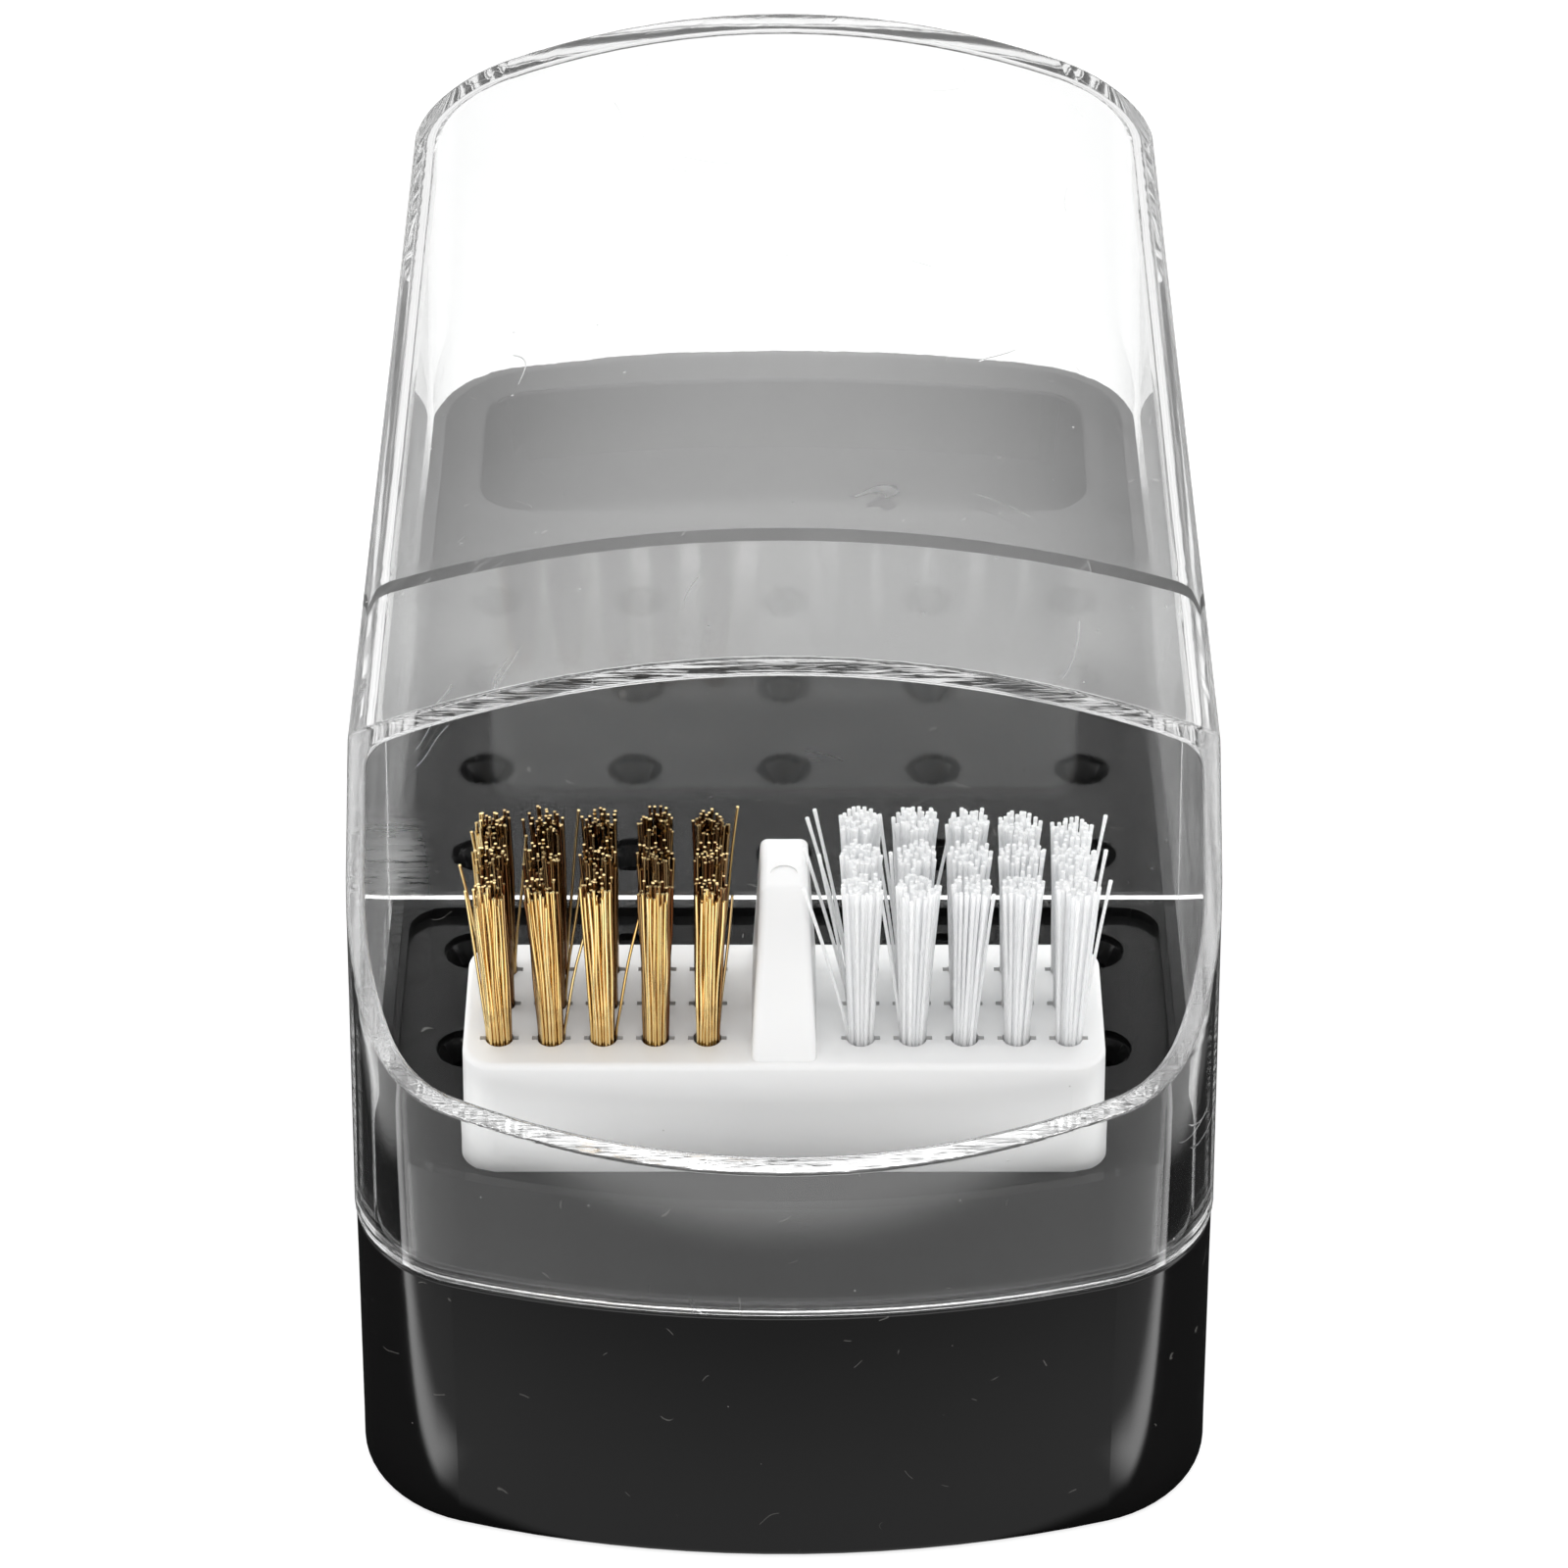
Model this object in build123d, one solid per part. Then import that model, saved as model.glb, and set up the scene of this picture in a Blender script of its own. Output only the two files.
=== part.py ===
from build123d import *
import math
import os

# Countertop holder for small rotary bits, with a lift-off clear cover and a lift-out cleaning brush.
# Millimetres. +Z up, X to the right, -Y towards the user.
# The origin is the centre of the footprint, on the surface that the holder stands on.

# --- footprint: straight sides, bowed front and back, rounded corners ---
FOOT_HALF_WIDTH = 35.3
FOOT_HALF_DEPTH = 65.4
FRONT_BOW = 7.0
BACK_BOW = 5.6
CORNER_RADIUS = 12.0
FOOT_EDGE_RADIUS = 0.8

# --- base shell ---
BASE_DRAFT = 1.0
LEDGE_Z = 25.95
FLOOR_THICKNESS = 2.4
UPSTAND_THICKNESS = 1.0
PLATE_SEAT_Z = 34.1
PLATE_SEAT_WIDTH = 0.7
DECK_Z = 36.3
LEDGE_EDGE_RADIUS = 0.3

# --- clear cover ---
SKIRT_Z = 26.2
SKIRT_HALF_WIDTH = 35.0
SKIRT_HALF_DEPTH = 65.25
COVER_DRAFT = 1.35
CROWN_Z = 73.8
ROOF_RADIUS = 101.7
COVER_WALL = 1.5
ROOF_THICKNESS = 1.6
ROOF_EDGE_RADIUS = 0.8
INNER_ROOF_RADIUS = 2.0
RIM_RADIUS = 0.35
SKIRT_EDGE_RADIUS = 0.3
COVER_CLEARANCE = 0.25

# --- niche: the slanted opening in front of the partition ---
PARTITION_FRONT_Y = -24.2
PARTITION_FOOT_THICKNESS = 1.0
PARTITION_HEAD_THICKNESS = 1.9
PARTITION_GAP = 0.35
LIP_SLOPE = 0.72
LIP_BEND_Y = -57.65
LIP_BEND_Z = 45.9
LIP_BEND_RADIUS = 12.0
CHEEK_TOP_Y = -44.1
CHEEK_TOP_Z = 68.2
CHEEK_TOP_RADIUS = 3.0
ROOF_CUT_Y = -42.1

# --- bit plate ---
PLATE_THICKNESS = 2.2
PLATE_CLEARANCE = 0.05
RECESS_DEPTH = 0.9
RECESS_BACK_Y = -24.9
RECESS_RIM = 0.55
RECESS_CORNER_RADIUS = 3.0

# --- bit sockets ---
SOCKET_COLUMNS = 5
SOCKET_ROWS = 6
SOCKET_PITCH = 13.0
FIRST_ROW_Y = -42.65
SOCKET_RADIUS = 1.25
SOCKET_MOUTH_RADIUS = 2.4
SOCKET_CONE_RADIUS = 2.2
SOCKET_STEP_DEPTH = 0.6
SOCKET_CONE_DEPTH = 2.2
SOCKET_DEPTH = 18.0
SOCKET_TUBE_RADIUS = 3.2
SOCKET_END_WALL = 1.2

# --- rear tray ---
TRAY_HALF_WIDTH = 28.3
TRAY_FRONT_Y = 34.95
TRAY_BACK_Y = 57.85
TRAY_BACK_BOW = 3.1
TRAY_CORNER_RADIUS = 4.5
TRAY_DEPTH = 7.0
TRAY_DRAFT = 8.0
TRAY_WALL = 1.5
TRAY_LIP_RADIUS = 0.4

# --- cleaning brush ---
BRUSH_Y = -49.5
BLOCK_WIDTH = 51.0
BLOCK_DEPTH = 16.2
BLOCK_HEIGHT = 10.1
BLOCK_DRAFT = 1.0
BLOCK_CORNER_RADIUS = 2.8
BLOCK_TOP_RADIUS = 0.5
FIN_FOOT_WIDTH = 5.1
FIN_FOOT_DEPTH = 14.9
FIN_TOP_WIDTH = 3.7
FIN_TOP_DEPTH = 6.6
FIN_HEIGHT = 14.0
FIN_ROOT = 0.8
FIN_CORNER_RADIUS = 0.6
GATE_MARK_RADIUS = 1.05
GATE_MARK_DEPTH = 0.15
GATE_MARK_Y = -1.4
TUFT_COLUMNS = 5
TUFT_ROWS = 3
TUFT_PITCH_X = 4.1
TUFT_PITCH_Y = 4.4
TUFT_GROUP_X = 14.25
TUFT_FOOT_RADIUS = 1.07
TUFT_TOP_RADIUS = 1.6
TUFT_LENGTH = 15.0
TUFT_HOLE_RADIUS = 1.12
TUFT_HOLE_DEPTH = 4.6
TUFT_FOOT_DEPTH = 4.3
ANCHOR_WIDTH = 3.0
ANCHOR_THICKNESS = 0.4
ANCHOR_HEIGHT = 1.0
ANCHOR_TOP_DEPTH = 2.4
ANCHOR_CLEARANCE = 0.03

FAR = 200.0


def barrel_outline(half_width, half_depth):
    """The footprint: straight sides, bowed front and back, rounded corners."""
    front_corner_y = -half_depth + FRONT_BOW
    back_corner_y = half_depth - BACK_BOW
    front = ThreePointArc((-half_width, front_corner_y), (0, -half_depth), (half_width, front_corner_y))
    right = Line((half_width, front_corner_y), (half_width, back_corner_y))
    back = ThreePointArc((half_width, back_corner_y), (0, half_depth), (-half_width, back_corner_y))
    left = Line((-half_width, back_corner_y), (-half_width, front_corner_y))
    face = make_face(Curve() + [front, right, back, left])
    return fillet(face.vertices(), CORNER_RADIUS)


def drafted(outline, bottom_z, top_z, draft):
    """A prism on the outline that narrows upwards by the draft angle."""
    return Pos(0, 0, bottom_z) * extrude(outline, top_z - bottom_z, taper=draft)


def cover_outline(inset):
    """The cover's outline at the skirt edge, moved inwards."""
    outline = barrel_outline(SKIRT_HALF_WIDTH, SKIRT_HALF_DEPTH)
    if inset > 0:
        outline = offset(outline, -inset)
    return outline


def cover_prism(inset, bottom_z, top_z):
    """A prism with the cover's draft, inset from the cover's outer face everywhere."""
    slope = math.tan(math.radians(COVER_DRAFT))
    inset_at_bottom = inset + (bottom_z - SKIRT_Z) * slope
    return drafted(cover_outline(inset_at_bottom), bottom_z, top_z, COVER_DRAFT)


def roof_barrel(drop):
    """The space under the arched roof, lowered by drop."""
    barrel = Cylinder(ROOF_RADIUS - drop, FAR, rotation=(90, 0, 0))
    return Pos(0, 0, CROWN_Z - ROOF_RADIUS) * barrel


def rounded_corner(face, y, z, radius):
    """The flat profile with its corner at (y, z) rounded."""
    corner = face.vertices().sort_by_distance((y, z, 0))[0]
    return fillet(corner, radius)


def niche_cutter():
    """Cuts the opening right through in X: a rising front lip, slanted cheeks and a nearly upright roof edge."""
    front_y = -SKIRT_HALF_DEPTH - 15
    top_z = CROWN_Z + 8
    front_z = LIP_BEND_Z + (front_y - LIP_BEND_Y) * LIP_SLOPE
    roof_slope = (CROWN_Z - CHEEK_TOP_Z) / (ROOF_CUT_Y - CHEEK_TOP_Y)
    top_y = ROOF_CUT_Y + (top_z - CROWN_Z) / roof_slope
    points = [
        (front_y, front_z),
        (LIP_BEND_Y, LIP_BEND_Z),
        (CHEEK_TOP_Y, CHEEK_TOP_Z),
        (top_y, top_z),
        (front_y, top_z),
    ]
    face = make_face(Polyline(*points, close=True))
    face = rounded_corner(face, LIP_BEND_Y, LIP_BEND_Z, LIP_BEND_RADIUS)
    face = rounded_corner(face, CHEEK_TOP_Y, CHEEK_TOP_Z, CHEEK_TOP_RADIUS)
    return extrude(Plane.YZ * face, FAR / 2, both=True)


def partition_blank():
    """A wide upright slab, thicker at the roof than at its foot."""
    foot_z = DECK_Z + PARTITION_GAP
    growth = (PARTITION_HEAD_THICKNESS - PARTITION_FOOT_THICKNESS) / 2
    foot_back_y = PARTITION_FRONT_Y + PARTITION_FOOT_THICKNESS
    points = [
        (PARTITION_FRONT_Y, foot_z),
        (foot_back_y, foot_z),
        (foot_back_y + growth, CROWN_Z),
        (PARTITION_FRONT_Y - growth, CROWN_Z),
    ]
    return extrude(Plane.YZ * make_face(Polyline(*points, close=True)), FAR / 2, both=True)


def rounded_roof(solid, radius):
    """The solid with the edges round its arched roof rounded."""
    roof_edges = solid.edges().filter_by(lambda e: e.center().Z > CROWN_Z - 9)
    return fillet(roof_edges, radius)


def make_clear_cover():
    """One clear moulding: skirt, walls, arched roof and the partition behind the niche."""
    outside = rounded_roof(cover_prism(0, SKIRT_Z, CROWN_Z) & roof_barrel(0), ROOF_EDGE_RADIUS)
    inside = cover_prism(COVER_WALL, SKIRT_Z, CROWN_Z) & roof_barrel(ROOF_THICKNESS)
    inside = rounded_roof(inside, INNER_ROOF_RADIUS)
    shell = outside - inside
    opening = niche_cutter()
    cover = shell - opening
    cover = fillet(new_edges(shell, opening, combined=cover), RIM_RADIUS)
    skirt_edges = cover.edges().filter_by(lambda e: e.center().Z < SKIRT_Z + 0.01)
    cover = fillet(skirt_edges, SKIRT_EDGE_RADIUS)
    return cover + (partition_blank() & inside)


def make_base_shell():
    """The black tub: drafted outer wall, ledge for the cover's skirt, upstand and a seat for the bit plate."""
    outline = barrel_outline(FOOT_HALF_WIDTH, FOOT_HALF_DEPTH)
    body = drafted(outline, 0, LEDGE_Z, BASE_DRAFT)
    body = fillet(body.faces().sort_by(Axis.Z)[0].edges(), FOOT_EDGE_RADIUS)
    body = fillet(body.faces().sort_by(Axis.Z)[-1].edges(), LEDGE_EDGE_RADIUS)
    upstand_inset = COVER_WALL + COVER_CLEARANCE
    mouth_inset = upstand_inset + UPSTAND_THICKNESS
    body += cover_prism(upstand_inset, LEDGE_Z, DECK_Z)
    mouth = cover_prism(mouth_inset, PLATE_SEAT_Z, DECK_Z)
    well_outline = offset(mouth.faces().sort_by(Axis.Z)[-1], -PLATE_SEAT_WIDTH)
    well = extrude(Pos(0, 0, FLOOR_THICKNESS - DECK_Z) * well_outline, DECK_Z - FLOOR_THICKNESS, dir=(0, 0, 1))
    return body - mouth - well


def socket_centres():
    """Centres of the bit sockets, front row first, left to right."""
    half_span = (SOCKET_COLUMNS - 1) / 2 * SOCKET_PITCH
    return [
        (column * SOCKET_PITCH - half_span, FIRST_ROW_Y + row * SOCKET_PITCH)
        for row in range(SOCKET_ROWS)
        for column in range(SOCKET_COLUMNS)
    ]


def socket_mouth_z(y):
    """The front rows open in the recessed floor, the others in the deck."""
    if y < RECESS_BACK_Y:
        return DECK_Z - RECESS_DEPTH
    return DECK_Z


def socket_cutter(mouth_z):
    """A stepped countersink over a blind bore, with its mouth at mouth_z."""
    step_z = mouth_z - SOCKET_STEP_DEPTH
    cone_height = SOCKET_CONE_DEPTH - SOCKET_STEP_DEPTH
    step = Pos(0, 0, step_z) * extrude(Circle(SOCKET_MOUTH_RADIUS), SOCKET_STEP_DEPTH + 1)
    cone = Cone(SOCKET_RADIUS, SOCKET_CONE_RADIUS, cone_height, align=(Align.CENTER, Align.CENTER, Align.MAX))
    bore = Cylinder(SOCKET_RADIUS, SOCKET_DEPTH, align=(Align.CENTER, Align.CENTER, Align.MAX))
    return step + Pos(0, 0, step_z) * cone + Pos(0, 0, mouth_z) * bore


def tray_outline(inset):
    """The rear tray's outline, with a bowed back edge."""
    half = TRAY_HALF_WIDTH
    corner_y = TRAY_BACK_Y - TRAY_BACK_BOW
    back = ThreePointArc((half, corner_y), (0, TRAY_BACK_Y), (-half, corner_y))
    front = Polyline((-half, corner_y), (-half, TRAY_FRONT_Y), (half, TRAY_FRONT_Y), (half, corner_y))
    face = make_face(Curve() + [front, back])
    face = fillet(face.vertices(), TRAY_CORNER_RADIUS)
    if inset:
        face = offset(face, -inset)
    return face


def tray_solid(outline, depth):
    """A downward-narrowing block under the deck surface."""
    return Pos(0, 0, DECK_Z) * extrude(outline, depth, dir=(0, 0, -1), taper=TRAY_DRAFT)


def is_tray_lip(edge):
    """True for the edges round the tray's mouth, at the deck surface."""
    centre = edge.center()
    across = abs(centre.X) < TRAY_HALF_WIDTH + 0.1
    along = TRAY_FRONT_Y - 0.1 < centre.Y < TRAY_BACK_Y + 0.1
    return across and along and abs(centre.Z - DECK_Z) < 0.01


def recess_cutter(plate):
    """The shallow pocket that makes the niche floor: a thin rim all round, rounded back corners."""
    deck = plate.faces().sort_by(Axis.Z)[-1]
    pocket = offset(deck, -RECESS_RIM) & (Pos(0, RECESS_BACK_Y - FAR / 2, DECK_Z) * Rectangle(FAR, FAR))
    back_corners = pocket.vertices().sort_by(Axis.Y)[-2:]
    pocket = fillet(back_corners, RECESS_CORNER_RADIUS)
    return extrude(pocket, RECESS_DEPTH, dir=(0, 0, -1))


def make_bit_plate():
    """The black insert: deck, recessed niche floor, blind bit sockets and the rear tray."""
    inset = COVER_WALL + COVER_CLEARANCE + UPSTAND_THICKNESS + PLATE_CLEARANCE
    plate = cover_prism(inset, DECK_Z - PLATE_THICKNESS, DECK_Z)
    plate = plate - recess_cutter(plate)
    plate = plate + tray_solid(tray_outline(-TRAY_WALL), TRAY_DEPTH + TRAY_WALL)
    tube = Cylinder(
        SOCKET_TUBE_RADIUS,
        SOCKET_DEPTH + SOCKET_END_WALL - PLATE_THICKNESS / 2,
        align=(Align.CENTER, Align.CENTER, Align.MIN),
    )
    tubes = []
    cutters = []
    for x, y in socket_centres():
        mouth_z = socket_mouth_z(y)
        tubes.append(Pos(x, y, mouth_z - SOCKET_DEPTH - SOCKET_END_WALL) * tube)
        cutters.append(Pos(x, y) * socket_cutter(mouth_z))
    plate = plate + tubes
    plate = plate - tray_solid(tray_outline(0), TRAY_DEPTH)
    plate = fillet(plate.edges().filter_by(is_tray_lip), TRAY_LIP_RADIUS)
    return plate - cutters


def tuft_centres(side):
    """Foot centres of one group of tufts; side is -1 for the brass group and 1 for the nylon group."""
    middle_column = (TUFT_COLUMNS - 1) / 2
    middle_row = (TUFT_ROWS - 1) / 2
    return [
        (side * TUFT_GROUP_X + (column - middle_column) * TUFT_PITCH_X, BRUSH_Y + (row - middle_row) * TUFT_PITCH_Y)
        for row in range(TUFT_ROWS)
        for column in range(TUFT_COLUMNS)
    ]


def block_top_z():
    return DECK_Z - RECESS_DEPTH + BLOCK_HEIGHT


def tapered_fin():
    """The finger grip: a slab that narrows upwards, with rounded corners, rooted in the block."""
    root = FIN_ROOT / FIN_HEIGHT
    foot_width = FIN_FOOT_WIDTH + (FIN_FOOT_WIDTH - FIN_TOP_WIDTH) * root
    foot_depth = FIN_FOOT_DEPTH + (FIN_FOOT_DEPTH - FIN_TOP_DEPTH) * root
    foot = RectangleRounded(foot_width, foot_depth, FIN_CORNER_RADIUS)
    top = RectangleRounded(FIN_TOP_WIDTH, FIN_TOP_DEPTH, FIN_CORNER_RADIUS)
    fin = loft([Pos(0, 0, -FIN_ROOT) * foot, Pos(0, 0, FIN_HEIGHT) * top])
    fin = fillet(fin.faces().sort_by(Axis.Z)[-1].edges(), FIN_CORNER_RADIUS)
    gate_mark = Pos(0, GATE_MARK_Y, FIN_HEIGHT - GATE_MARK_DEPTH) * extrude(Circle(GATE_MARK_RADIUS), 1)
    return fin - gate_mark


def make_brush_block():
    """The white moulding: a rounded block with a finger grip across its middle and a hole for each tuft."""
    floor_z = DECK_Z - RECESS_DEPTH
    outline = RectangleRounded(BLOCK_WIDTH, BLOCK_DEPTH, BLOCK_CORNER_RADIUS)
    block = extrude(outline, BLOCK_HEIGHT, taper=BLOCK_DRAFT)
    block = fillet(block.faces().sort_by(Axis.Z)[-1].edges(), BLOCK_TOP_RADIUS)
    block = Pos(0, BRUSH_Y, floor_z) * block
    block = block + Pos(0, BRUSH_Y, block_top_z()) * tapered_fin()
    hole = Cylinder(TUFT_HOLE_RADIUS, TUFT_HOLE_DEPTH, align=(Align.CENTER, Align.CENTER, Align.MAX))
    slit_depth = ANCHOR_TOP_DEPTH + ANCHOR_HEIGHT + ANCHOR_CLEARANCE
    slit = Box(
        ANCHOR_WIDTH + 2 * ANCHOR_CLEARANCE,
        ANCHOR_THICKNESS + 2 * ANCHOR_CLEARANCE,
        slit_depth,
        align=(Align.CENTER, Align.CENTER, Align.MAX),
    )
    pocket = hole + slit
    pockets = [Pos(x, y, block_top_z()) * pocket for x, y in tuft_centres(-1) + tuft_centres(1)]
    return block - pockets


def make_tuft():
    """One tuft as a solid bundle: a straight foot in its hole and a gently splayed head."""
    foot = Cylinder(TUFT_FOOT_RADIUS, TUFT_FOOT_DEPTH, align=(Align.CENTER, Align.CENTER, Align.MAX))
    head = Cone(TUFT_FOOT_RADIUS, TUFT_TOP_RADIUS, TUFT_LENGTH, align=(Align.CENTER, Align.CENTER, Align.MIN))
    gap = Pos(0, 0, -ANCHOR_TOP_DEPTH + ANCHOR_CLEARANCE) * Box(
        ANCHOR_WIDTH,
        ANCHOR_THICKNESS + 2 * ANCHOR_CLEARANCE,
        ANCHOR_HEIGHT + 2 * ANCHOR_CLEARANCE,
        align=(Align.CENTER, Align.CENTER, Align.MAX),
    )
    return foot + head - gap


def make_anchors(centres):
    """The flat wire staples that pin one group of tufts, one solid each."""
    staple = Box(ANCHOR_WIDTH, ANCHOR_THICKNESS, ANCHOR_HEIGHT, align=(Align.CENTER, Align.CENTER, Align.MAX))
    staple_z = block_top_z() - ANCHOR_TOP_DEPTH
    return Compound([Pos(x, y, staple_z) * staple for x, y in centres])


def make_parts():
    """Every node of the assembly, by name."""
    parts = {
        "base_shell": make_base_shell(),
        "bit_plate": make_bit_plate(),
        "clear_cover": make_clear_cover(),
        "brush_block": make_brush_block(),
    }
    tuft = make_tuft()
    for name, side in (("brass_tuft", -1), ("nylon_tuft", 1)):
        centres = tuft_centres(side)
        for number, (x, y) in enumerate(centres, start=1):
            parts[f"{name}_{number:02d}"] = Pos(x, y, block_top_z()) * tuft
        parts[f"{name}_anchors"] = make_anchors(centres)
    return parts


os.makedirs("parts", exist_ok=True)
for node, shape in make_parts().items():
    export_step(shape, f"parts/{node}.step")
    size = shape.bounding_box().size
    print(f"{node}: {size.X:.1f} x {size.Y:.1f} x {size.Z:.1f} mm, {shape.volume:.0f} mm3")
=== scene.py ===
import math
import random

import bmesh
import bpy
from mathutils import Matrix, Vector


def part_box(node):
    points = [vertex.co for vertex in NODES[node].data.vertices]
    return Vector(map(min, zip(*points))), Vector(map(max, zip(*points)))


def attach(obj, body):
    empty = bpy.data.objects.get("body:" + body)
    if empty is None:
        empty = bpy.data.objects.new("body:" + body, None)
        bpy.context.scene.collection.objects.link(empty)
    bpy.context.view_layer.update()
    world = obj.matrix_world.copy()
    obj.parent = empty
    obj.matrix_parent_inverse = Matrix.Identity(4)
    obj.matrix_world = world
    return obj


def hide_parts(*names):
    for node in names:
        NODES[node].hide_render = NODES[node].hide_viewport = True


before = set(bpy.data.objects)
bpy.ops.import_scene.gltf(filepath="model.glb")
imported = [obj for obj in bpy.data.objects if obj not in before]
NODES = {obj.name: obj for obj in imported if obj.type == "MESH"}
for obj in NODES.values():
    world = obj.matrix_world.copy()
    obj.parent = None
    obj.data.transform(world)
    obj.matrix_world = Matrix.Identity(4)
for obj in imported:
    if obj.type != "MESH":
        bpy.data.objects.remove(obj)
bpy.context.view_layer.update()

MM = 0.001

# --- tufts ---
TUFT_COLUMNS = 5
TUFT_SINK = 2.2 * MM
TUFT_LENGTH = 15.0 * MM
WIRE_SIDES = 8
WIRE_RINGS = 11
WIRE_CAP = 0.06 * MM
# share of the painted wire shade that the cut ends keep
CAP_PAINTED_SHADE = 0.55

# --- partition of the clear cover: the middle of its thickness ---
PARTITION_Y = -23.7 * MM

# --- studio floor: half its width, and how far it lies under the object ---
FLOOR_HALF = 3.0
FLOOR_DROP = 0.02 * MM

BRASS = {
    "slot": "brass_wire",
    "wire_radius": 0.122 * MM,
    "foot_radius": 1.09 * MM,
    "top_radius": 1.55 * MM,
    "spacing": 0.262 * MM,
    "ripple": 0.05 * MM,
    "jitter": 0.07 * MM,
    "uneven": 0.85 * MM,
    "flare": 1.0,
    "lean": (-0.45, -0.45, -0.2, 0.1, 0.35),
    "strays": 1,
    "stray_reach": 0.7 * MM,
    "shorter": {},
}
NYLON = {
    "slot": "nylon_bristle",
    "wire_radius": 0.138 * MM,
    "foot_radius": 1.10 * MM,
    "top_radius": 1.95 * MM,
    "spacing": 0.285 * MM,
    "ripple": 0.012 * MM,
    "jitter": 0.09 * MM,
    "uneven": 0.22 * MM,
    "flare": 1.22,
    "lean": (-0.1, 0.2, 0.35, 0.2, 0.25),
    "strays": 2,
    "stray_reach": 0.7 * MM,
    "shorter": {10: 0.4 * MM, 14: 0.6 * MM, 15: 1.1 * MM},
}

# wires that lean far out of their tuft:
# (tuft number, sideways reach at the tip, backwards reach at the tip, length), reaches and length in mm
BRASS_STRAYS = (
    (2, 2.6, 0.3, 13.4),
    (3, 2.5, 0.2, 13.9),
    (6, -1.9, 0.2, 13.4),
    (7, 1.9, 0.2, 14.6),
    (11, 1.4, -0.6, 14.0),
    (12, 1.3, 0.3, 15.4),
    (15, 1.5, 0.2, 15.8),
)
NYLON_STRAYS = (
    (1, -3.6, 0.1, 14.6),
    (6, -3.5, 0.1, 15.2),
    (6, -2.4, -0.3, 15.0),
    (11, -3.3, -0.4, 15.4),
    (11, -2.7, 0.2, 15.6),
    (2, -1.9, 0.3, 14.9),
    (7, -1.9, 0.1, 15.2),
    (12, 2.2, 0.0, 15.3),
    (12, -1.7, 0.1, 15.2),
    (5, 1.9, 0.4, 15.0),
    (10, 1.7, 0.0, 15.1),
    (15, 1.9, 0.1, 15.1),
)


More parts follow.
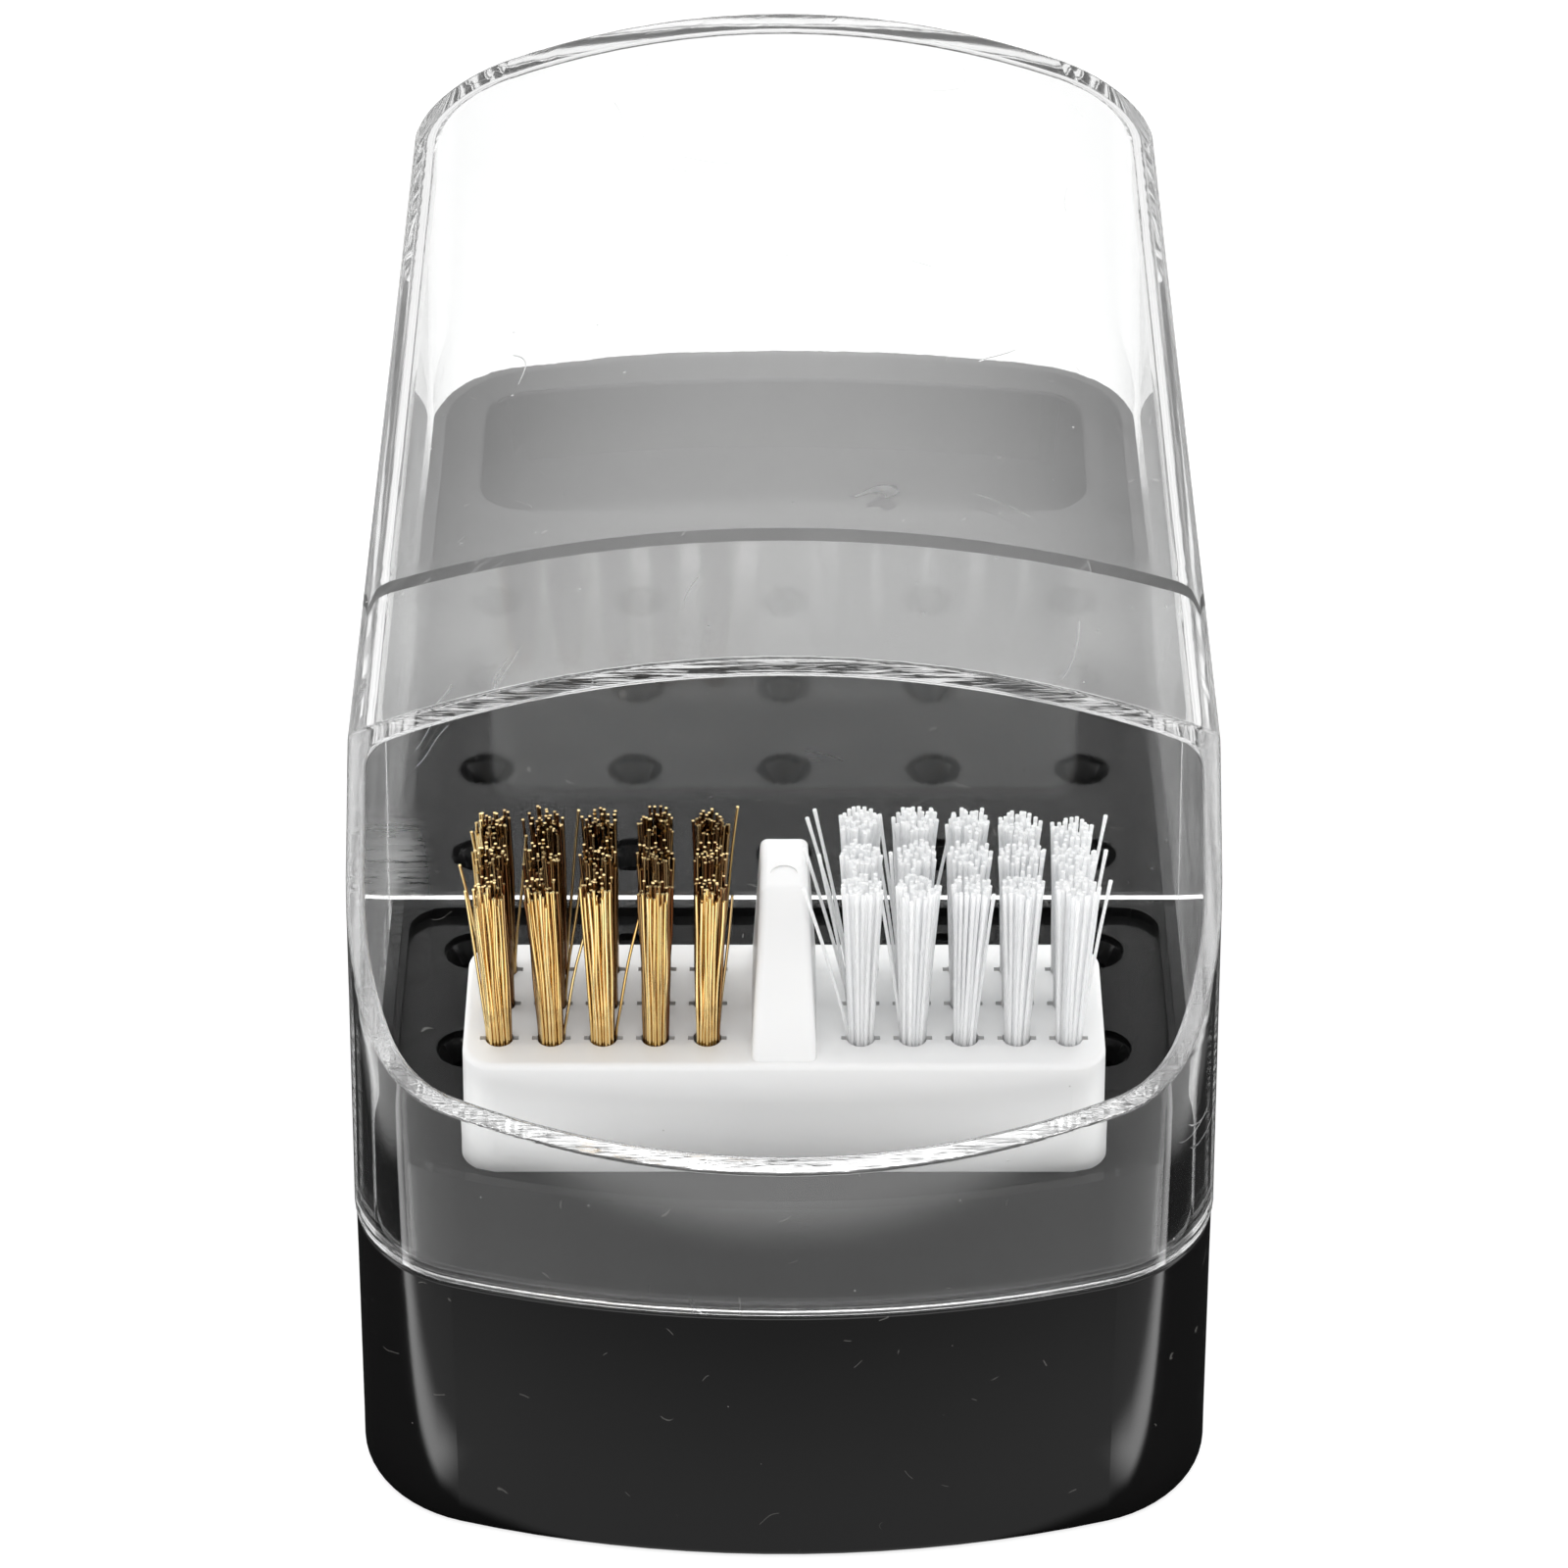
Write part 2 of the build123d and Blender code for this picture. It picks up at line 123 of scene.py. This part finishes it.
class Shader:
    """A material's node tree with short calls to add and join nodes."""

    def __init__(self, name):
        self.material = bpy.data.materials.new(name)
        self.material.use_nodes = True
        self.tree = self.material.node_tree
        self.tree.nodes.clear()
        self.place = self.add("ShaderNodeTexCoord").outputs["Object"]

    def add(self, kind, settings=None, **inputs):
        node = self.tree.nodes.new(kind)
        for key, value in (settings or {}).items():
            setattr(node, key, value)
        for key, value in inputs.items():
            self.feed(node.inputs[key.replace("_", " ")], value)
        return node

    def feed(self, socket, value):
        if isinstance(value, bpy.types.NodeSocket):
            self.tree.links.new(value, socket)
        else:
            socket.default_value = value

    def math(self, operation, a, b=0.0, clamp=False):
        node = self.add("ShaderNodeMath", {"operation": operation, "use_clamp": clamp})
        self.feed(node.inputs[0], a)
        self.feed(node.inputs[1], b)
        return node.outputs[0]

    def ramp(self, value, low, high, to_low=0.0, to_high=1.0):
        node = self.add("ShaderNodeMapRange", {"interpolation_type": "SMOOTHSTEP"})
        self.feed(node.inputs["Value"], value)
        for key, v in (("From Min", low), ("From Max", high), ("To Min", to_low), ("To Max", to_high)):
            self.feed(node.inputs[key], v)
        return node.outputs["Result"]

    def noise(self, scale, detail=2.0, distortion=0.0, place=None):
        node = self.add("ShaderNodeTexNoise", Scale=scale, Detail=detail, Distortion=distortion)
        self.feed(node.inputs["Vector"], place or self.place)
        return node.outputs["Fac"]

    def stretched(self, x, y, z):
        """Object coordinates scaled along each axis, for grain that runs one way."""
        node = self.add("ShaderNodeMapping")
        self.feed(node.inputs["Vector"], self.place)
        node.inputs["Scale"].default_value = (x, y, z)
        return node.outputs["Vector"]

    def mix(self, factor, a, b):
        node = self.add("ShaderNodeMix", {"data_type": "RGBA"})
        self.feed(node.inputs["Factor"], factor)
        self.feed(node.inputs["A"], a)
        self.feed(node.inputs["B"], b)
        return node.outputs["Result"]

    def specks(self, cell, radius, share):
        """Sparse round dust specks: 1 inside a speck, 0 outside. cell and radius are in metres."""
        voronoi = self.add("ShaderNodeTexVoronoi", Scale=1 / cell)
        self.feed(voronoi.inputs["Vector"], self.place)
        near = self.ramp(voronoi.outputs["Distance"], 0.5 * radius / cell, radius / cell, 1.0, 0.0)
        pick = self.add("ShaderNodeSeparateColor")
        self.feed(pick.inputs["Color"], voronoi.outputs["Color"])
        kept = self.math("LESS_THAN", pick.outputs[0], share)
        return self.math("MULTIPLY", near, kept)

    def fibres(self, wander, width, share):
        """Short curved hair scratches. wander is the size of their bends and width their width, in metres."""
        level = self.math("SUBTRACT", self.noise(1 / wander, 1.0), 0.5)
        line = self.ramp(self.math("ABSOLUTE", level), 0.4 * width / wander, 1.2 * width / wander, 1.0, 0.0)
        cut = self.ramp(self.noise(2.3 / wander, 0.0, 0.0, self.moved(0.37)), 1 - share, 1.03 - share)
        return self.math("MULTIPLY", line, cut)

    def moved(self, distance):
        """Object coordinates shifted by a fixed distance, for noise that does not follow other noise."""
        node = self.add("ShaderNodeVectorMath", {"operation": "ADD"})
        self.feed(node.inputs[0], self.place)
        node.inputs[1].default_value = (distance, distance, distance)
        return node.outputs[0]

    def bump(self, height, distance, strength=1.0, base=None):
        node = self.add("ShaderNodeBump", Distance=distance, Strength=strength)
        self.feed(node.inputs["Height"], height)
        if base is not None:
            self.feed(node.inputs["Normal"], base)
        return node.outputs["Normal"]

    def seen_straight(self, after_mirror=0.62):
        """1 for rays from the eye or through clear plastic, less for those that a mirror has turned."""
        rays = self.add("ShaderNodeLightPath")
        turned = self.math("MINIMUM", rays.outputs["Glossy Depth"], 1.0)
        kept = self.math("SUBTRACT", 1.0, self.math("MULTIPLY", turned, 1 - after_mirror))
        through = self.math("MULTIPLY", rays.outputs["Is Transmission Ray"], kept)
        return self.math("MAXIMUM", rays.outputs["Is Camera Ray"], through)

    def principled(self, **inputs):
        return self.add("ShaderNodeBsdfPrincipled", **inputs).outputs["BSDF"]

    def finish(self, surface):
        output = self.add("ShaderNodeOutputMaterial")
        self.feed(output.inputs["Surface"], surface)
        return self.material


def black_plastic(name, dark, roughness, specular):
    """Moulded black plastic: faint tone drift, orange peel, dust specks and a few hair scratches."""
    s = Shader(name)
    specks = s.specks(2.6 * MM, 0.085 * MM, 0.30)
    hairs = s.fibres(5 * MM, 0.03 * MM, 0.28)
    marks = s.math("MAXIMUM", s.math("MULTIPLY", specks, 0.8), s.math("MULTIPLY", hairs, 0.22))
    drift = s.noise(45, 3.0)
    tone = s.mix(drift, (dark * 0.8, dark * 0.8, dark * 0.82, 1), (dark * 1.25, dark * 1.23, dark * 1.22, 1))
    colour = s.mix(marks, tone, (0.42, 0.41, 0.39, 1))
    grain = s.noise(2600, 2.0)
    patchy = s.ramp(s.noise(160, 4.0), 0.3, 0.7, roughness * 0.85, roughness * 1.2)
    rough = s.math("ADD", patchy, s.math("MULTIPLY", marks, 0.3))
    peel = s.bump(s.noise(300, 2.0), 0.010 * MM, 0.30)
    normal = s.bump(grain, 0.002 * MM, 0.5, peel)
    shine = s.principled(Base_Color=colour, Roughness=rough, Specular_IOR_Level=specular, Normal=normal)
    return s.finish(shine)


def clear_plastic():
    """Clear moulded plastic: wavy walls, scratches, dust, streaky cut faces and a scuffed partition.

    Lamp light passes straight through it, unbent.
    """
    s = Shader("clear_polystyrene")
    specks = s.specks(3.4 * MM, 0.13 * MM, 0.40)
    hairs = s.math("MULTIPLY", s.fibres(18 * MM, 0.035 * MM, 0.28), 0.6)
    part = s.add("ShaderNodeSeparateXYZ")
    s.feed(part.inputs[0], s.place)
    x = s.math("MULTIPLY", part.outputs["X"], -1.0)
    y = s.math("ABSOLUTE", s.math("ADD", part.outputs["Y"], -PARTITION_Y))
    on_partition = s.ramp(y, 1.2 * MM, 1.8 * MM, 1.0, 0.0)
    at_side = s.ramp(x, 28.5 * MM, 31.5 * MM)
    low = s.ramp(part.outputs["Z"], 40 * MM, 48 * MM, 1.0, 0.0)
    streaks = s.ramp(s.noise(1.0, 5.0, 0.4, s.stretched(260, 900, 2200)), 0.40, 0.54)
    scuff = s.math("MULTIPLY", s.math("MULTIPLY", on_partition, s.math("MULTIPLY", at_side, low)), streaks)
    marks = s.math("MAXIMUM", specks, s.math("MAXIMUM", hairs, scuff))
    facing = s.add("ShaderNodeSeparateXYZ")
    s.feed(facing.inputs[0], s.add("ShaderNodeTexCoord").outputs["Normal"])
    slant = s.math("MULTIPLY", facing.outputs["Y"], facing.outputs["Z"])
    cut_face = s.ramp(slant, -0.30, -0.26, 1.0, 0.0)
    saw_noise = s.noise(1.0, 3.0, 0.0, s.stretched(90, 1900, 1900))
    saw_lines = s.math("MULTIPLY", saw_noise, cut_face)
    frosted = s.math("MULTIPLY", s.ramp(saw_noise, 0.44, 0.60), cut_face)
    wave = s.bump(s.noise(80, 1.0), 0.10 * MM, 0.13)
    fine = s.bump(s.noise(700, 2.0), 0.008 * MM, 0.07, wave)
    streaky = s.bump(saw_lines, 0.10 * MM, 0.8, fine)
    normal = s.bump(marks, 0.03 * MM, 0.5, streaky)
    rough = s.math("ADD", 0.012, s.math("MULTIPLY", marks, 0.45))
    rough = s.math("ADD", rough, s.math("MULTIPLY", on_partition, 0.055))
    rough = s.math("ADD", rough, s.math("MULTIPLY", frosted, 0.06))
    colour = s.mix(s.noise(60, 2.0), (0.980, 0.985, 0.985, 1), (0.995, 0.995, 0.992, 1))
    solid = s.principled(
        Base_Color=colour,
        Roughness=rough,
        IOR=1.55,
        Transmission_Weight=1.0,
        Sheen_Weight=0.095,
        Sheen_Roughness=0.25,
        Normal=normal,
    )
    lamp_light = s.add("ShaderNodeBsdfTransparent", Color=(0.955, 0.96, 0.96, 1)).outputs[0]
    rays = s.add("ShaderNodeLightPath")
    mixed = s.add("ShaderNodeMixShader")
    s.feed(mixed.inputs[0], rays.outputs["Is Shadow Ray"])
    s.feed(mixed.inputs[1], solid)
    s.feed(mixed.inputs[2], lamp_light)
    return s.finish(mixed.outputs[0])


def white_plastic():
    """Smooth white moulding with faint flow marks."""
    s = Shader("white_moulding")
    flow = s.noise(1.0, 3.0, 0.8, s.stretched(60, 160, 160))
    colour = s.mix(flow, (0.80, 0.80, 0.80, 1), (0.86, 0.86, 0.855, 1))
    specks = s.specks(3.2 * MM, 0.10 * MM, 0.16)
    colour = s.mix(s.math("MULTIPLY", specks, 0.5), colour, (0.35, 0.33, 0.31, 1))
    rough = s.ramp(s.noise(240, 3.0), 0.3, 0.7, 0.34, 0.46)
    normal = s.bump(s.noise(900, 2.0), 0.012 * MM, 0.4)
    return s.finish(
        s.principled(
            Base_Color=colour,
            Roughness=rough,
            Normal=normal,
            Subsurface_Weight=0.12,
            Subsurface_Radius=(1.2 * MM, 1.1 * MM, 1.0 * MM),
            Subsurface_Scale=1.0,
        )
    )


def brass_wire():
    """Drawn brass: tone changes at random from wire to wire, with stain streaks; painted shade darkens the
    wires deep in the tufts, and the cut ends stay brighter as a painted highlight.
    """
    s = Shader("drawn_brass")
    # tone varies at random from wire to wire; the cut ends carry the lightest tone as a painted highlight
    tone_and_tip_highlight = s.add("ShaderNodeAttribute", {"attribute_name": "wire_tone_and_tip_highlight"}).outputs["Fac"]
    colour = s.mix(tone_and_tip_highlight, (0.80, 0.56, 0.22, 1), (0.99, 0.80, 0.42, 1))
    stain = s.ramp(s.noise(1.0, 3.0, 0.0, s.stretched(1500, 1500, 260)), 0.52, 0.72)
    colour = s.mix(s.math("MULTIPLY", stain, 0.35), colour, (0.42, 0.23, 0.08, 1))
    # painted shade: wires deep in the tufts are darkened towards dark brown, where the rows shade each other
    painted_shade = s.add("ShaderNodeAttribute", {"attribute_name": "wire_painted_shade"}).outputs["Fac"]
    colour = s.mix(painted_shade, colour, (0.13, 0.040, 0.011, 1))
    lines = s.noise(1.0, 2.0, 0.0, s.stretched(9000, 9000, 500))
    rough = s.ramp(lines, 0.3, 0.7, 0.05, 0.13)
    normal = s.bump(lines, 0.004 * MM, 0.5)
    return s.finish(s.principled(Base_Color=colour, Metallic=1.0, Roughness=rough, Normal=normal))


def nylon_bristle():
    """Milky nylon monofilament that lets some light through."""
    s = Shader("nylon_filament")
    # tone varies at random from wire to wire; the cut ends carry the lightest tone as a painted highlight
    tone_and_tip_highlight = s.add("ShaderNodeAttribute", {"attribute_name": "wire_tone_and_tip_highlight"}).outputs["Fac"]
    colour = s.mix(tone_and_tip_highlight, (0.965, 0.97, 0.975, 1), (0.995, 0.995, 0.995, 1))
    lines = s.noise(1.0, 2.0, 0.0, s.stretched(6000, 6000, 500))
    rough = s.ramp(lines, 0.3, 0.7, 0.22, 0.36)
    normal = s.bump(lines, 0.01 * MM, 0.4)
    skin = s.principled(
        Base_Color=colour,
        Roughness=rough,
        Normal=normal,
        Subsurface_Weight=0.9,
        Transmission_Weight=0.05,
        Subsurface_Radius=(1.0, 1.0, 1.0),
        Subsurface_Scale=0.8 * MM,
        IOR=1.45,
    )
    milk = s.add("ShaderNodeBsdfTranslucent", Color=colour).outputs[0]
    mixed = s.add("ShaderNodeMixShader")
    s.feed(mixed.inputs[0], 0.4)
    s.feed(mixed.inputs[1], skin)
    s.feed(mixed.inputs[2], milk)
    return s.finish(mixed.outputs[0])


def anchor_metal():
    """Flat wire staples, dull and slightly stained."""
    s = Shader("anchor_wire")
    tone = s.mix(s.noise(900, 3.0), (0.20, 0.15, 0.13, 1), (0.42, 0.34, 0.30, 1))
    rough = s.ramp(s.noise(2500, 2.0), 0.3, 0.7, 0.40, 0.6)
    return s.finish(s.principled(Base_Color=tone, Metallic=1.0, Roughness=rough))


def dress(node, material):
    """Gives a CAD node its finished material."""
    mesh = NODES[node].data
    mesh.materials.clear()
    mesh.materials.append(material)


def lattice(radius, spacing, dice):
    """Wire places in a round hole: a close-packed lattice, turned and nudged at random."""
    turn = Matrix.Rotation(dice.uniform(0, math.pi / 3), 2)
    nudge = Vector((dice.uniform(0, spacing), dice.uniform(0, spacing)))
    reach = int(radius / spacing) + 3
    places = []
    for row in range(-reach, reach + 1):
        for column in range(-reach, reach + 1):
            place = turn @ Vector((column + 0.5 * (row % 2), row * math.sqrt(3) / 2)) * spacing + nudge
            if place.length <= radius:
                places.append(place)
    return places


def wire(bm, path, radius, flare, tone, painted_shade):
    """Adds one wire: a closed tube along the path with a flat cut end, flared when flare is above 1."""
    rings = []
    last = len(path) - 1
    for i, point in enumerate(path):
        along = (path[min(i + 1, last)] - path[max(i - 1, 0)]).normalized()
        side = along.orthogonal().normalized()
        across = along.cross(side)
        size = radius * (flare if i >= last - 1 else 1.0)
        ring = []
        for k in range(WIRE_SIDES):
            angle = 2 * math.pi * k / WIRE_SIDES
            ring.append(bm.verts.new(point + size * (math.cos(angle) * side + math.sin(angle) * across)))
        rings.append(ring)
    faces = [bm.faces.new(rings[0][::-1]), bm.faces.new(rings[-1])]
    for lower, upper in zip(rings, rings[1:]):
        for k in range(WIRE_SIDES):
            j = (k + 1) % WIRE_SIDES
            faces.append(bm.faces.new((lower[k], lower[j], upper[j], upper[k])))
    tone_and_highlight_layer = bm.faces.layers.float["wire_tone_and_tip_highlight"]
    shade_layer = bm.faces.layers.float["wire_painted_shade"]
    for face in faces:
        face.smooth = len(face.verts) == 4
        # painted highlight: cut ends take the lightest tone
        face[tone_and_highlight_layer] = tone if face.smooth else 1.0
        # painted shade per wire, with less of it on the cut ends
        face[shade_layer] = painted_shade if face.smooth else CAP_PAINTED_SHADE * painted_shade


def wire_path(foot, reach, length, ripple, dice):
    """Points of a wire from hole to tip: straight in the hole, then bowed outwards and rippled."""
    waves = [(dice.uniform(0, 2 * math.pi), dice.uniform(260, 620), dice.uniform(0.5, 1.0)) for _ in range(4)]
    points = []
    for i in range(WIRE_RINGS):
        z = -TUFT_SINK + (length + TUFT_SINK) * i / (WIRE_RINGS - 1)
        share = max(0.0, z / length)
        sway_x = sum(a * math.sin(p + k * z) for p, k, a in waves[:2]) * ripple * min(1.0, share * 3)
        sway_y = sum(a * math.sin(p + k * z) for p, k, a in waves[2:]) * ripple * min(1.0, share * 3)
        spread = share**1.15
        points.append(Vector((foot.x + reach.x * spread + sway_x, foot.y + reach.y * spread + sway_y, z)))
    end = points[-1]
    before = points[-2]
    points.append(end + (end - before).normalized() * WIRE_CAP)
    return points


def make_tuft(node, kind, material, strays):
    """A bundle of separate wires that stands for one CAD tuft."""
    low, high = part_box(node)
    number = int(node[-2:])
    dice = random.Random(node)
    column = (number - 1) % TUFT_COLUMNS
    centre = Vector(((low.x + high.x) / 2, (low.y + high.y) / 2, high.z - TUFT_LENGTH))
    bm = bmesh.new()
    for layer in ("wire_tone_and_tip_highlight", "wire_painted_shade"):
        bm.faces.layers.float.new(layer)
    feet = lattice(kind["foot_radius"] - kind["wire_radius"], kind["spacing"], dice)
    spread = kind["top_radius"] / kind["foot_radius"] - 1
    lean = Vector((kind["lean"][column] * MM, dice.uniform(-0.15, 0.15) * MM))
    loose = set(dice.sample(range(len(feet)), kind["strays"]))
    usual_length = TUFT_LENGTH - kind["uneven"] * 0.6 - kind["shorter"].get(number, 0.0)
    for i, foot in enumerate(feet):
        reach = foot * spread + lean
        reach += Vector((dice.gauss(0, kind["jitter"]), dice.gauss(0, kind["jitter"])))
        if i in loose and foot.length > 0.3 * kind["foot_radius"]:
            reach += foot.normalized() * dice.uniform(0.3, 1.0) * kind["stray_reach"]
        length = usual_length + dice.uniform(-1, 1) * kind["uneven"]
        path = wire_path(foot, reach, length, kind["ripple"], dice)
        # painted shade: back-row tufts and the rear half of each front tuft are darkened; the leftmost wires
        # of the first column keep less of it, as if lit from the left
        in_painted_shade = number > TUFT_COLUMNS or foot.y > -0.35 * kind["foot_radius"]
        painted_shade = dice.uniform(0.55, 1.0) if in_painted_shade else 0.0
        if column == 0 and foot.x < -0.45 * kind["foot_radius"]:
            painted_shade *= 0.3
        wire(bm, path, kind["wire_radius"], kind["flare"], dice.random(), painted_shade)
    for which, sideways, backwards, length in strays:
        if which == number:
            rim_radius = kind["foot_radius"] - 1.2 * kind["wire_radius"]
            rim = Vector((sideways, backwards)).normalized() * rim_radius
            path = wire_path(rim, Vector((sideways, backwards)) * MM, length * MM, kind["ripple"], dice)
            # stray wires carry a little painted shade
            wire(bm, path, kind["wire_radius"], kind["flare"], dice.random(), 0.25)
    mesh = bpy.data.meshes.new(node + "_wires")
    bm.to_mesh(mesh)
    bm.free()
    piece = bpy.data.objects.new(node + "_wires", mesh)
    bpy.context.scene.collection.objects.link(piece)
    piece.location = centre
    mesh.materials.append(material)
    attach(piece, "brush")
    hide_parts(node)


def make_floor():
    """A plain floor, evenly white to the eye. In mirrors it glows instead with painted reflections: a dim
    band in front of the object, nearly black beside it, a bright strip at its front corners and very bright
    far in front.
    """
    mesh = bpy.data.meshes.new("floor")
    far = FLOOR_HALF
    mesh.from_pydata([(-far, -far, 0), (far, -far, 0), (far, far, 0), (-far, far, 0)], [], [(0, 1, 2, 3)])
    floor = bpy.data.objects.new("floor", mesh)
    bpy.context.scene.collection.objects.link(floor)
    floor.location.z = -FLOOR_DROP
    s = Shader("floor_paper_and_painted_reflections")
    fleck = s.noise(400, 3.0)
    tone = s.mix(fleck, (0.40, 0.40, 0.40, 1), (0.44, 0.44, 0.44, 1))
    paper = s.add("ShaderNodeBsdfDiffuse", Color=tone).outputs[0]
    glow = s.add("ShaderNodeEmission", Color=(1, 1, 1, 1), Strength=0.78).outputs[0]
    seen = s.add("ShaderNodeAddShader")
    s.feed(seen.inputs[0], paper)
    s.feed(seen.inputs[1], glow)
    part = s.add("ShaderNodeSeparateXYZ")
    s.feed(part.inputs[0], s.place)
    x = s.math("ABSOLUTE", part.outputs["X"])
    y = part.outputs["Y"]
    # painted reflection and painted shade: in mirrors the floor glows 0.16 at 104 mm in front, 0.46 from 67
    # mm in, and very bright beyond about 110 mm
    near = s.ramp(y, -114 * MM, -106 * MM, 1.7, 0.0)
    glow_sheet = s.math("ADD", s.ramp(y, -104 * MM, -67 * MM, 0.16, 0.46), near)
    # painted shade: beside and under the object the floor turns nearly black in mirrors
    along = s.ramp(s.math("ABSOLUTE", y), 63.2 * MM, 64.8 * MM, 1.0, 0.0)
    beside = s.math("MULTIPLY", along, s.ramp(x, 76 * MM, 84 * MM, 1.0, 0.0))
    glow_sheet = s.math("MULTIPLY", glow_sheet, s.math("SUBTRACT", 1.0, s.math("MULTIPLY", beside, 0.97)))
    # painted highlight: a bright strip along the line of the front face, outside the front corners, which the
    # rounded corners show as vertical streaks
    painted_streak = s.math("MULTIPLY", s.ramp(y, -71 * MM, -65.5 * MM), s.ramp(y, -64.6 * MM, -63.0 * MM, 1.0, 0.0))
    painted_streak = s.math("MULTIPLY", painted_streak, s.ramp(x, 30 * MM, 36 * MM))
    level = s.math("ADD", glow_sheet, s.math("MULTIPLY", painted_streak, 2.8))
    mirrored = s.add("ShaderNodeEmission", Color=(1, 1, 1, 1), Strength=level).outputs[0]
    mixed = s.add("ShaderNodeMixShader")
    turned = s.math("MINIMUM", s.add("ShaderNodeLightPath").outputs["Glossy Depth"], 1.0)
    not_beside = s.math("SUBTRACT", 1.0, s.math("MULTIPLY", turned, beside))
    straight = s.math("MULTIPLY", s.seen_straight(), not_beside)
    s.feed(mixed.inputs[0], straight)
    s.feed(mixed.inputs[1], mirrored)
    s.feed(mixed.inputs[2], seen.outputs[0])
    mesh.materials.append(s.finish(mixed.outputs[0]))


def softbox(name, place, aim, width, height, radiance):
    """An area light with an even face of the given radiance."""
    lamp = bpy.data.lights.new(name, "AREA")
    lamp.shape = "RECTANGLE"
    lamp.size = width
    lamp.size_y = height
    lamp.energy = radiance * math.pi * width * height
    holder = bpy.data.objects.new(name, lamp)
    holder.location = place
    holder.rotation_euler = (Vector(aim) - Vector(place)).to_track_quat("-Z", "Y").to_euler()
    bpy.context.scene.collection.objects.link(holder)


def back_card():
    """A wide glowing card behind the object, brighter towards its top and fading out at its top edge."""
    mesh = bpy.data.meshes.new("back_card")
    mesh.from_pydata([(-1.3, 0, 0.40), (1.3, 0, 0.40), (1.3, 0, 1.10), (-1.3, 0, 1.10)], [], [(0, 1, 2, 3)])
    glow_sheet = bpy.data.objects.new("back_card", mesh)
    glow_sheet.location = (0, 1.2, 0.04)
    glow_sheet.visible_camera = False
    bpy.context.scene.collection.objects.link(glow_sheet)
    s = Shader("back_card_glow")
    part = s.add("ShaderNodeSeparateXYZ")
    s.feed(part.inputs[0], s.place)
    rise = s.ramp(part.outputs["Z"], 0.54, 0.88, 0.72, 2.5)
    fade = s.ramp(part.outputs["Z"], 0.91, 1.04, 1.0, 0.0)
    glow = s.add("ShaderNodeEmission", Strength=s.math("MULTIPLY", rise, fade)).outputs[0]
    mesh.materials.append(s.finish(glow))


def make_lights():
    """A glowing card behind, softboxes above and in front, and a strip on each side."""
    middle = (0, 0, 0.04)
    back_card()
    softbox("top_softbox", (0, 0.25, 1.45), middle, 1.0, 0.8, 2.0)
    softbox("front_softbox", (0, -0.75, 1.5), middle, 1.4, 0.8, 2.05)
    for side, name in ((-1, "left_strip"), (1, "right_strip")):
        softbox(name, (side * 1.0, -0.15, 0.45), middle, 0.35, 0.9, 2.2)
    world = bpy.data.worlds.new("studio")
    world.use_nodes = True
    tree = world.node_tree
    rays = tree.nodes.new("ShaderNodeLightPath")
    seen = tree.nodes.new("ShaderNodeMath")
    seen.operation = "MAXIMUM"
    tree.links.new(rays.outputs["Is Camera Ray"], seen.inputs[0])
    tree.links.new(rays.outputs["Is Transmission Ray"], seen.inputs[1])
    level = tree.nodes.new("ShaderNodeMapRange")
    level.inputs["To Min"].default_value = 0.45
    level.inputs["To Max"].default_value = 1.0
    tree.links.new(seen.outputs[0], level.inputs["Value"])
    tree.links.new(level.outputs["Result"], tree.nodes["Background"].inputs["Strength"])
    tree.nodes["Background"].inputs["Color"].default_value = (1, 1, 1, 1)
    bpy.context.scene.world = world


def make_camera():
    """The photograph's viewpoint: 36 degrees above the table, straight from the front."""
    elevation = math.radians(36.0)
    distance = 472.58 * MM
    target = Vector((0, -5.25 * MM, 34.9 * MM))
    camera = bpy.data.cameras.new("camera")
    camera.lens = 124.29
    camera.sensor_width = 36
    camera.clip_start = 0.01
    holder = bpy.data.objects.new("camera", camera)
    holder.location = target + distance * Vector((0, -math.cos(elevation), math.sin(elevation)))
    holder.rotation_euler = (math.radians(90) - elevation, 0, 0)
    bpy.context.scene.collection.objects.link(holder)
    bpy.context.scene.camera = holder


def make_object():
    """Finishes the CAD nodes and builds the tufts."""
    dress("base_shell", black_plastic("black_gloss", 0.008, 0.09, 0.42))
    dress("bit_plate", black_plastic("black_satin", 0.006, 0.16, 0.18))
    dress("clear_cover", clear_plastic())
    dress("brush_block", white_plastic())
    staple = anchor_metal()
    brass = brass_wire()
    nylon = nylon_bristle()
    for name in ("brass_tuft_anchors", "nylon_tuft_anchors"):
        dress(name, staple)
    for number in range(1, 16):
        make_tuft(f"brass_tuft_{number:02d}", BRASS, brass, BRASS_STRAYS)
        make_tuft(f"nylon_tuft_{number:02d}", NYLON, nylon, NYLON_STRAYS)


make_camera()
make_lights()
make_floor()
make_object()
bpy.context.scene.view_settings.view_transform = "Standard"
bpy.context.scene.cycles.max_bounces = 64
bpy.context.scene.cycles.transmission_bounces = 32
bpy.context.scene.cycles.glossy_bounces = 64
bpy.context.scene.cycles.diffuse_bounces = 16
bpy.context.scene.cycles.transparent_max_bounces = 24
bpy.context.scene.cycles.blur_glossy = 0.5
